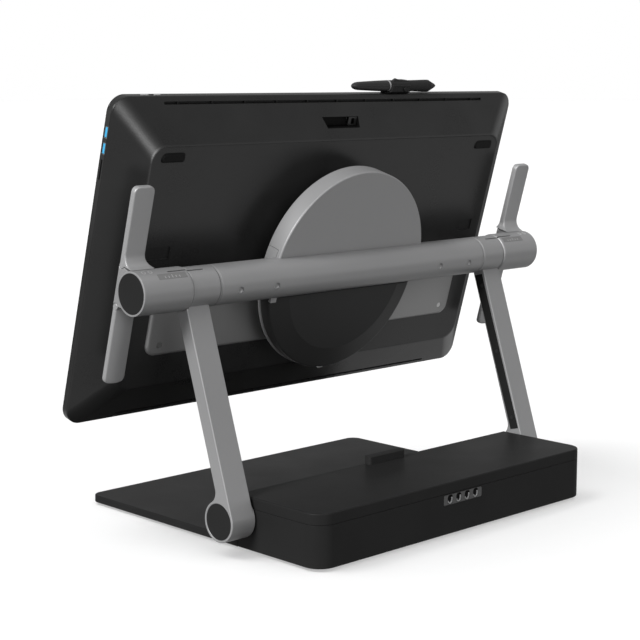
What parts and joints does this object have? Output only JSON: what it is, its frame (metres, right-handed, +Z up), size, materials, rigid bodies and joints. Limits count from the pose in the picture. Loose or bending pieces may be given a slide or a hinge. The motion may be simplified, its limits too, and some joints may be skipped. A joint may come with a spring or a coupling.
{
  "type": "pen display on adjustable stand",
  "caption": "Pen drawing display held by a round turntable hub on a crossbar, with two swinging arms, squeeze levers, a weighted desk base and a pen in its holder.",
  "frame": {"origin": "centre of the base's box on the desk, at the bottom of the rubber feet", "axes": "+Z up, +X to the user's right along the display's width, the user on the -Y side facing +Y"},
  "size_m": [0.675, 0.4144, 0.5291],
  "materials": {
    "base_plastic": "fine matte texture",
    "dark_plastic": "satin",
    "shell_black": "soft matte",
    "grey_coat": "satin grey coat",
    "lever_coat": "satin grey coat",
    "module_grey": "satin grey coat",
    "window_grey": "satin",
    "light_ring": "satin",
    "steel": "machined",
    "black_steel": "black oxide",
    "rubber": "matte",
    "screen_glass": "etched anti-glare",
    "panel_black": "smooth",
    "cast_metal": "cast",
    "board_green": "satin",
    "port_metal": "plated",
    "pen_black": "satin",
    "pen_rubber": "soft grip"
  },
  "bodies": {
    "base": {"base_plate": "base_plastic", "base_housing": "base_plastic", "base_lid": "base_plastic", "base_bottom": "base_plastic", "counterweight": "steel", "base_feet": "rubber", "cable_clip": "grey_coat", "rest_bumper": "rubber", "pivot_shafts": "steel", "counterbalance_springs": "steel", "base_screws": "black_steel"},
    "arms": {"arm_right": "grey_coat", "arm_left": "grey_coat", "arm_cover_right": "dark_plastic", "arm_cover_left": "dark_plastic", "arm_cover_screws": "black_steel", "arm_pivot_caps": "dark_plastic"},
    "head": {"crossbar_tube": "grey_coat", "tilt_shaft": "steel", "collar_rings": "light_ring", "end_housing_right": "grey_coat", "end_housing_left": "grey_coat", "end_caps": "dark_plastic", "tube_plugs": "light_ring", "angle_windows": "window_grey", "hub_upper_shell": "grey_coat", "hub_lower_shell": "dark_plastic", "hub_bracket": "steel", "hub_bearing": "steel", "lever_pins": "steel"},
    "rotation_catch": {"rotation_catch": "light_ring"},
    "tilt_lever_right": {"tilt_lever_right": "lever_coat"},
    "tilt_lever_left": {"tilt_lever_left": "lever_coat"},
    "height_lever_right": {"height_lever_right": "lever_coat"},
    "height_lever_left": {"height_lever_left": "lever_coat"},
    "display": {"turntable_plate": "black_steel", "turntable_screws": "black_steel", "back_shell": "shell_black", "front_frame": "shell_black", "cover_glass": "screen_glass", "display_panel": "panel_black", "chassis": "cast_metal", "main_board": "board_green", "fan_frames": "dark_plastic", "module_cover": "module_grey", "module_screws": "black_steel", "rear_pads": "rubber", "vent_grilles": "dark_plastic", "side_ports": "port_metal", "pen_holder": "dark_plastic"},
    "fan_rotor_right": {"fan_rotor_right": "dark_plastic"},
    "fan_rotor_left": {"fan_rotor_left": "dark_plastic"},
    "power_button": {"power_button": "light_ring"},
    "touch_switch": {"touch_switch": "light_ring"},
    "pen": {"pen_barrel": "pen_black", "pen_grip": "pen_rubber", "pen_ring": "light_ring"},
    "pen_nib": {"pen_nib": "pen_black"},
    "pen_switch": {"pen_switch": "pen_black"}
  },
  "joints": [
    {"name": "arm_height", "type": "hinge", "parent": "base", "child": "arms", "pos_m": [0, 0.083, 0.0405], "axis": [1, 0, 0], "range_deg": [-20, 28]},
    {"name": "display_tilt", "type": "hinge", "parent": "arms", "child": "head", "pos_m": [0, 0.01851, 0.2963], "axis": [-1, 0, 0], "range_deg": [-10, 50]},
    {"name": "display_turn", "type": "hinge", "parent": "head", "child": "display", "pos_m": [0, -0.02001, 0.30708], "axis": [0, 0.963, -0.2696], "range_deg": [-20, 20]},
    {"name": "tilt_lever_right_squeeze", "type": "hinge", "parent": "head", "child": "tilt_lever_right", "pos_m": [0.3215, 0.00145, 0.32662], "axis": [1, 0, 0], "range_deg": [0, 8], "stiffness_Nm_per_rad": 3, "springref_deg": -2.86},
    {"name": "tilt_lever_left_squeeze", "type": "hinge", "parent": "head", "child": "tilt_lever_left", "pos_m": [-0.3215, 0.00145, 0.32662], "axis": [1, 0, 0], "range_deg": [0, 8], "stiffness_Nm_per_rad": 3, "springref_deg": -2.86},
    {"name": "height_lever_right_squeeze", "type": "hinge", "parent": "head", "child": "height_lever_right", "pos_m": [0.3215, -0.01181, 0.27924], "axis": [-1, 0, 0], "range_deg": [0, 8], "stiffness_Nm_per_rad": 3, "springref_deg": -2.86},
    {"name": "height_lever_left_squeeze", "type": "hinge", "parent": "head", "child": "height_lever_left", "pos_m": [-0.3215, -0.01181, 0.27924], "axis": [-1, 0, 0], "range_deg": [0, 8], "stiffness_Nm_per_rad": 3, "springref_deg": -2.86},
    {"name": "rotation_catch_pull", "type": "slide", "parent": "head", "child": "rotation_catch", "axis": [0, -0.2696, -0.963], "range_m": [0, 0.003], "stiffness_N_per_m": 200, "springref_m": -0.002},
    {"name": "power_press", "type": "slide", "parent": "display", "child": "power_button", "axis": [0, -0.2696, -0.963], "range_m": [0, 0.0004], "stiffness_N_per_m": 400, "springref_m": -0.0005},
    {"name": "touch_slide", "type": "slide", "parent": "display", "child": "touch_switch", "axis": [1, 0, 0], "range_m": [0, 0.006]},
    {"name": "fan_spin_right", "type": "hinge", "parent": "display", "child": "fan_rotor_right", "pos_m": [0.15, -0.03166, 0.3847], "axis": [0, 0.963, -0.2696], "continuous": true},
    {"name": "fan_spin_left", "type": "hinge", "parent": "display", "child": "fan_rotor_left", "pos_m": [-0.15, -0.03166, 0.3847], "axis": [0, 0.963, -0.2696], "continuous": true},
    {"name": "pen_lift", "type": "slide", "parent": "display", "child": "pen", "axis": [0, 0.2696, 0.963], "range_m": [0, 0.04]},
    {"name": "nib_press", "type": "slide", "parent": "pen", "child": "pen_nib", "axis": [1, 0, 0], "range_m": [0, 0.0004], "stiffness_N_per_m": 400, "springref_m": -0.0005},
    {"name": "pen_switch_rock", "type": "hinge", "parent": "pen", "child": "pen_switch", "pos_m": [-0.114, -0.00602, 0.52581], "axis": [0, 0.963, -0.2696], "range_deg": [-3, 3], "stiffness_Nm_per_rad": 0.5}
  ]
}
